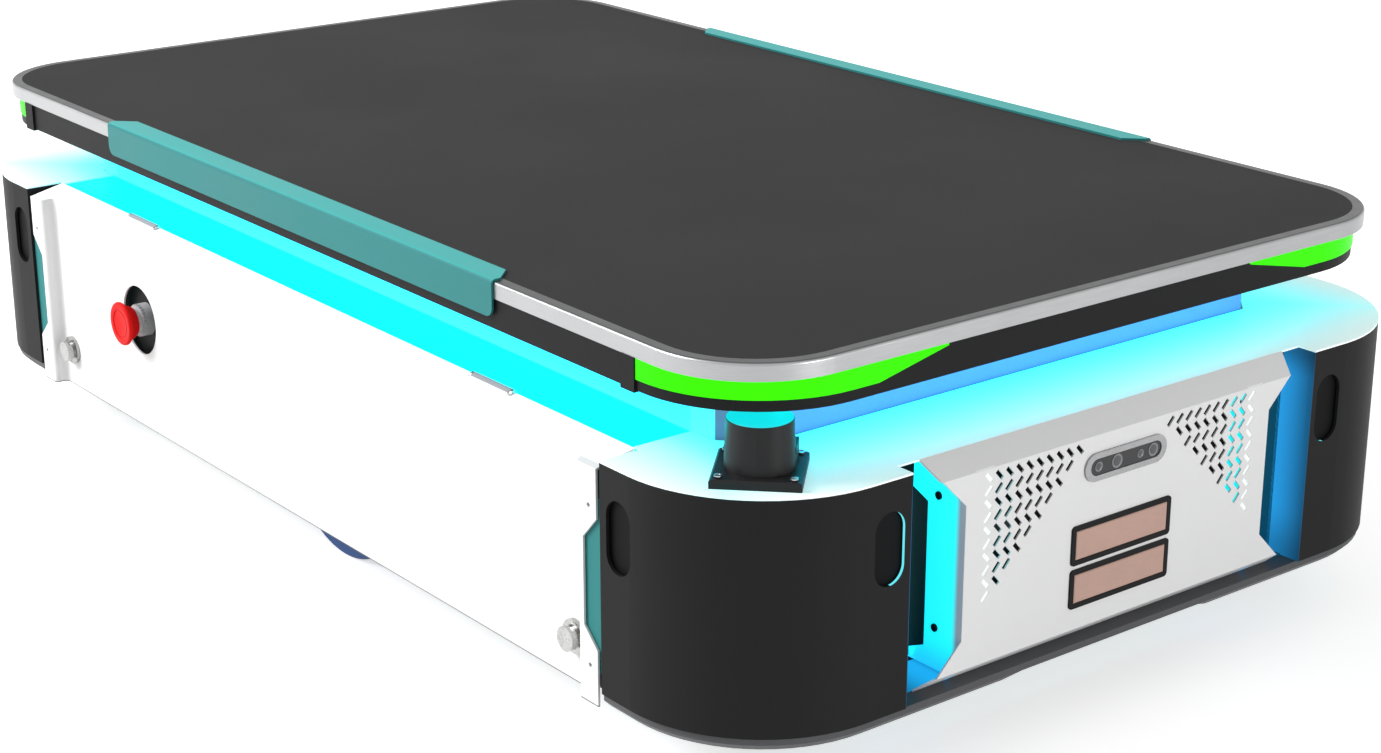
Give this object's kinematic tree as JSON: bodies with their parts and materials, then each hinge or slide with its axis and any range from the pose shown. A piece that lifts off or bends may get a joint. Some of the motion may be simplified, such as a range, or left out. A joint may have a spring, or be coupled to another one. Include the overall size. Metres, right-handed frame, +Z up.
{
  "type": "autonomous mobile robot",
  "caption": "Low autonomous mobile robot with a lifting load deck, corner light lenses, hinged side doors, charging contacts and depth cameras.",
  "frame": {"origin": "on the floor under the middle of the robot", "axes": "+X forward, towards the charging contacts; +Y left; +Z up"},
  "size_m": [1.344, 0.815, 0.3622],
  "materials": {
    "painted_white": "satin white paint",
    "shell_black": "matt black",
    "rim_grey": "satin dark grey",
    "frame_black": "satin black paint",
    "zinc": "zinc plated",
    "battery_grey": "matt grey",
    "light": "lit diffuser",
    "lens_green": "lit lens",
    "teal": "satin teal paint",
    "silver": "anodised",
    "window": "gloss black",
    "contact_black": "matt black",
    "copper": "copper alloy",
    "scanner_black": "satin black",
    "estop_red": "gloss red",
    "collar_grey": "satin grey",
    "deck_dark": "satin black paint",
    "mat": "fine ribbed",
    "skirt_paint": "satin light blue paint",
    "steel": "ground",
    "wheel_grey": "machined",
    "tyre_blue": "polyurethane",
    "caster_tread": "polyurethane"
  },
  "bodies": {
    "chassis": {"corner_shells": "shell_black", "base_rim": "rim_grey", "top_covers": "painted_white", "frame_rails": "frame_black", "cross_beams": "frame_black", "side_sills": "frame_black", "light_channels": "zinc", "outriggers": "frame_black", "end_plates": "frame_black", "belly_pan": "zinc", "pan_hangers": "frame_black", "battery_pack": "battery_grey", "controller_box": "silver", "gearmotors": "zinc", "drive_brackets": "frame_black", "caster_mounts": "frame_black", "jack_bodies": "silver", "light_strips": "light", "front_panel": "painted_white", "rear_panel": "painted_white", "camera_housings": "silver", "camera_windows": "window", "contact_frames": "contact_black", "contact_pads": "copper", "accent_plates": "teal", "scanners": "scanner_black", "estop_housings": "contact_black", "estop_collars": "collar_grey"},
    "deck": {"deck_frame": "deck_dark", "deck_plate": "silver", "deck_mat": "mat", "corner_lenses": "lens_green", "edge_guards": "teal", "lift_skirt": "skirt_paint", "lift_rams": "steel"},
    "drive_wheel_left": {"drive_hub_left": "wheel_grey", "drive_tyre_left": "tyre_blue"},
    "drive_wheel_right": {"drive_hub_right": "wheel_grey", "drive_tyre_right": "tyre_blue"},
    "door_left": {"side_door_left": "painted_white"},
    "door_right": {"side_door_right": "painted_white"},
    "stop_left": {"estop_button_left": "estop_red"},
    "stop_right": {"estop_button_right": "estop_red"},
    "latch_left_front": {"knob_left_front": "silver"},
    "latch_left_rear": {"knob_left_rear": "silver"},
    "latch_right_front": {"knob_right_front": "silver"},
    "latch_right_rear": {"knob_right_rear": "silver"},
    "swivel_front_left": {"caster_fork_front_left": "zinc"},
    "wheel_front_left": {"caster_wheel_front_left": "caster_tread"},
    "screw_front_left": {"lift_screw_front_left": "steel"},
    "swivel_rear_left": {"caster_fork_rear_left": "zinc"},
    "wheel_rear_left": {"caster_wheel_rear_left": "caster_tread"},
    "screw_rear_left": {"lift_screw_rear_left": "steel"},
    "swivel_front_right": {"caster_fork_front_right": "zinc"},
    "wheel_front_right": {"caster_wheel_front_right": "caster_tread"},
    "screw_front_right": {"lift_screw_front_right": "steel"},
    "swivel_rear_right": {"caster_fork_rear_right": "zinc"},
    "wheel_rear_right": {"caster_wheel_rear_right": "caster_tread"},
    "screw_rear_right": {"lift_screw_rear_right": "steel"}
  },
  "joints": [
    {"name": "deck_lift", "type": "slide", "parent": "chassis", "child": "deck", "axis": [0, 0, 1], "range_m": [0, 0.045]},
    {"name": "drive_turn_left", "type": "hinge", "parent": "chassis", "child": "drive_wheel_left", "pos_m": [0, 0.305, 0.105], "axis": [0, 1, 0], "continuous": true},
    {"name": "door_swing_left", "type": "hinge", "parent": "chassis", "child": "door_left", "pos_m": [0, 0.3635, 0.262], "axis": [1, 0, 0], "range_deg": [0, 85]},
    {"name": "stop_press_left", "type": "slide", "parent": "chassis", "child": "stop_left", "axis": [0, -1, 0], "range_m": [0, 0.004]},
    {"name": "drive_turn_right", "type": "hinge", "parent": "chassis", "child": "drive_wheel_right", "pos_m": [0, -0.305, 0.105], "axis": [0, 1, 0], "continuous": true},
    {"name": "door_swing_right", "type": "hinge", "parent": "chassis", "child": "door_right", "pos_m": [0, -0.3635, 0.262], "axis": [-1, 0, 0], "range_deg": [0, 85]},
    {"name": "stop_press_right", "type": "slide", "parent": "chassis", "child": "stop_right", "axis": [0, 1, 0], "range_m": [0, 0.004]},
    {"name": "swivel_turn_front_left", "type": "hinge", "parent": "chassis", "child": "swivel_front_left", "pos_m": [0.55, 0.282, 0.1], "axis": [0, 0, 1], "continuous": true},
    {"name": "caster_roll_front_left", "type": "hinge", "parent": "swivel_front_left", "child": "wheel_front_left", "pos_m": [0.525, 0.282, 0.04], "axis": [0, 1, 0], "continuous": true},
    {"name": "screw_turn_front_left", "type": "hinge", "parent": "chassis", "child": "screw_front_left", "pos_m": [0.43, 0.17, 0.1], "axis": [0, 0, 1], "range_deg": [0, 1625]},
    {"name": "swivel_turn_rear_left", "type": "hinge", "parent": "chassis", "child": "swivel_rear_left", "pos_m": [-0.55, 0.282, 0.1], "axis": [0, 0, 1], "continuous": true},
    {"name": "caster_roll_rear_left", "type": "hinge", "parent": "swivel_rear_left", "child": "wheel_rear_left", "pos_m": [-0.525, 0.282, 0.04], "axis": [0, 1, 0], "continuous": true},
    {"name": "screw_turn_rear_left", "type": "hinge", "parent": "chassis", "child": "screw_rear_left", "pos_m": [-0.43, 0.17, 0.1], "axis": [0, 0, 1], "range_deg": [0, 1625]},
    {"name": "swivel_turn_front_right", "type": "hinge", "parent": "chassis", "child": "swivel_front_right", "pos_m": [0.55, -0.282, 0.1], "axis": [0, 0, 1], "continuous": true},
    {"name": "caster_roll_front_right", "type": "hinge", "parent": "swivel_front_right", "child": "wheel_front_right", "pos_m": [0.525, -0.282, 0.04], "axis": [0, 1, 0], "continuous": true},
    {"name": "screw_turn_front_right", "type": "hinge", "parent": "chassis", "child": "screw_front_right", "pos_m": [0.43, -0.17, 0.1], "axis": [0, 0, 1], "range_deg": [0, 1625]},
    {"name": "swivel_turn_rear_right", "type": "hinge", "parent": "chassis", "child": "swivel_rear_right", "pos_m": [-0.55, -0.282, 0.1], "axis": [0, 0, 1], "continuous": true},
    {"name": "caster_roll_rear_right", "type": "hinge", "parent": "swivel_rear_right", "child": "wheel_rear_right", "pos_m": [-0.525, -0.282, 0.04], "axis": [0, 1, 0], "continuous": true},
    {"name": "screw_turn_rear_right", "type": "hinge", "parent": "chassis", "child": "screw_rear_right", "pos_m": [-0.43, -0.17, 0.1], "axis": [0, 0, 1], "range_deg": [0, 1625]},
    {"name": "latch_turn_left_front", "type": "hinge", "parent": "door_left", "child": "latch_left_front", "pos_m": [0.453, 0.386, 0.0965], "axis": [0, -1, 0], "range_deg": [0, 90]},
    {"name": "latch_turn_left_rear", "type": "hinge", "parent": "door_left", "child": "latch_left_rear", "pos_m": [-0.453, 0.386, 0.0965], "axis": [0, 1, 0], "range_deg": [0, 90]},
    {"name": "latch_turn_right_front", "type": "hinge", "parent": "door_right", "child": "latch_right_front", "pos_m": [0.453, -0.386, 0.0965], "axis": [0, -1, 0], "range_deg": [0, 90]},
    {"name": "latch_turn_right_rear", "type": "hinge", "parent": "door_right", "child": "latch_right_rear", "pos_m": [-0.453, -0.386, 0.0965], "axis": [0, 1, 0], "range_deg": [0, 90]}
  ],
  "couplings": [
    {"joint": "screw_turn_front_left", "follows": "deck_lift", "rad_per_m": 628.32},
    {"joint": "screw_turn_rear_left", "follows": "deck_lift", "rad_per_m": 628.32},
    {"joint": "screw_turn_front_right", "follows": "deck_lift", "rad_per_m": 628.32},
    {"joint": "screw_turn_rear_right", "follows": "deck_lift", "rad_per_m": 628.32}
  ]
}
